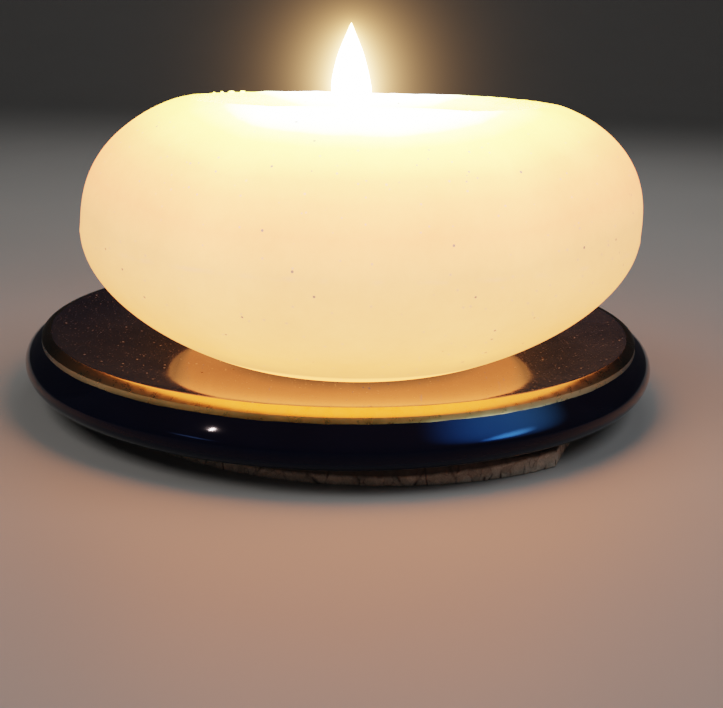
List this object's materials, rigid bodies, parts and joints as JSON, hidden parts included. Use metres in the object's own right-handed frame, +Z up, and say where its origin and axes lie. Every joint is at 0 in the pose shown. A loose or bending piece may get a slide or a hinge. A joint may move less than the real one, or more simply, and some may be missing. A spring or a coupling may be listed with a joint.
{
  "type": "ball candle on a dish",
  "caption": "Squat round candle, lit, that rests on a round glazed dish with a gilt rim and a rough cork pad under it.",
  "frame": {"origin": "on the dish's axis, at the underside of the cork pad", "axes": "+Z up along the dish's axis; -Y is the front, towards which the candle stands a little off centre; +X is to the right seen from the front"},
  "size_m": [0.11, 0.1113, 0.0545],
  "materials": {
    "wax": "ivory wax, faintly glossy, lit from inside by its own flame",
    "molten_wax": "clear molten wax",
    "wick_cotton": "braided cotton, charred at the tip",
    "clip_steel": "tinned sheet steel",
    "glaze": "deep cobalt gloss glaze with a little dust",
    "gilt": "bright gold lustre, a little worn",
    "cork": "pressed cork granules, cut by hand",
    "glue": "dried adhesive film"
  },
  "bodies": {
    "dish_base": {"dish": "glaze", "gilt_band": "gilt", "cork_pad": "cork", "glue_film": "glue"},
    "candle": {"candle_body": "wax", "melt_pool": "molten_wax", "wick": "wick_cotton", "wick_clip": "clip_steel"}
  },
  "joints": [
    {"name": "candle_lift", "type": "slide", "parent": "dish_base", "child": "candle", "axis": [0, 0, 1], "range_m": [0, 0.06]}
  ]
}
